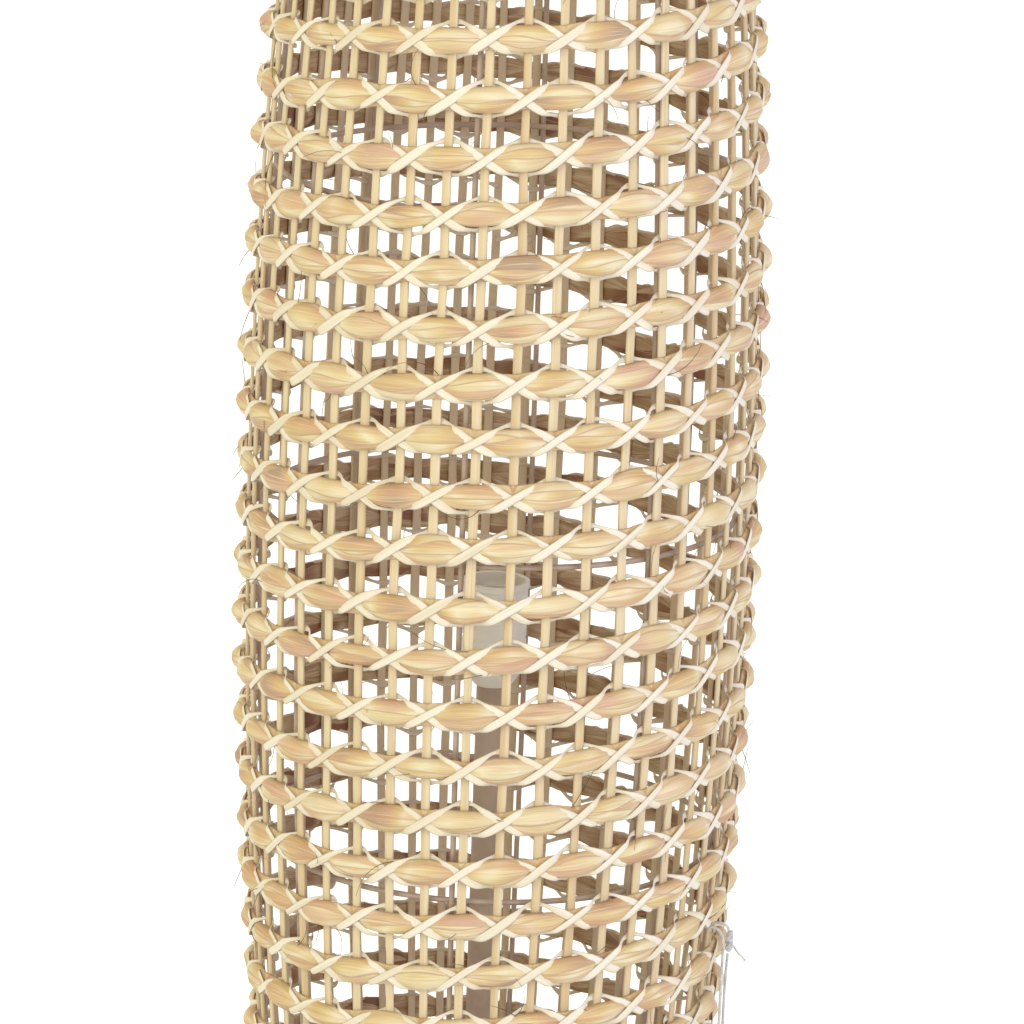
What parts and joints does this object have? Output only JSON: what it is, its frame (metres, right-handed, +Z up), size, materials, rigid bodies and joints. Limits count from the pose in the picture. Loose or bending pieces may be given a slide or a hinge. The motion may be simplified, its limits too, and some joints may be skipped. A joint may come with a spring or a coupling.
{
  "type": "floor lamp",
  "caption": "Tall barrel-shaped floor lamp woven from rattan leaf round flat stakes, on a wire frame, with a lamp holder on a steel post inside.",
  "frame": {"origin": "middle of the foot, on the floor", "axes": "+Z up along the lamp's axis; the side seen in the picture faces -Y"},
  "size_m": [0.3098, 0.3098, 1.2],
  "materials": {
    "rattan": "dry peeled rattan splint, satin",
    "leaf": "folded dry leaf in honey, peach and olive tones, matt",
    "pale_leaf": "pale dry leaf, matt",
    "rod_paint": "satin paint, mauve grey",
    "timber": "sanded and stained",
    "felt": "wool felt",
    "steel": "zinc plated",
    "white_plastic": "gloss",
    "ceramic": "glazed",
    "brass": "bright",
    "cotton": "twisted cotton"
  },
  "bodies": {
    "root": {"stake_01": "rattan", "stake_02": "rattan", "stake_03": "rattan", "stake_04": "rattan", "stake_05": "rattan", "stake_06": "rattan", "stake_07": "rattan", "stake_08": "rattan", "stake_09": "rattan", "stake_10": "rattan", "stake_11": "rattan", "stake_12": "rattan", "stake_13": "rattan", "stake_14": "rattan", "stake_15": "rattan", "stake_16": "rattan", "stake_17": "rattan", "stake_18": "rattan", "stake_19": "rattan", "stake_20": "rattan", "stake_21": "rattan", "stake_22": "rattan", "stake_23": "rattan", "stake_24": "rattan", "stake_25": "rattan", "stake_26": "rattan", "stake_27": "rattan", "stake_28": "rattan", "stake_29": "rattan", "stake_30": "rattan", "stake_31": "rattan", "stake_32": "rattan", "stake_33": "rattan", "stake_34": "rattan", "stake_35": "rattan", "stake_36": "rattan", "stake_37": "rattan", "stake_38": "rattan", "stake_39": "rattan", "stake_40": "rattan", "stake_41": "rattan", "stake_42": "rattan", "leaf_strand_a_lower": "leaf", "leaf_strand_a_upper": "leaf", "leaf_strand_b_lower": "leaf", "leaf_strand_b_upper": "leaf", "inner_frame": "rod_paint", "foot_rim": "pale_leaf", "top_rim": "pale_leaf", "floor_pad": "felt", "base_disc": "timber", "post": "rod_paint", "post_nut": "steel", "cable_gland": "white_plastic", "holder_cap": "white_plastic", "holder_body": "white_plastic", "holder_insert": "ceramic", "screw_shell": "brass", "tie_string": "cotton", "string_knot": "cotton"}
  },
  "joints": []
}
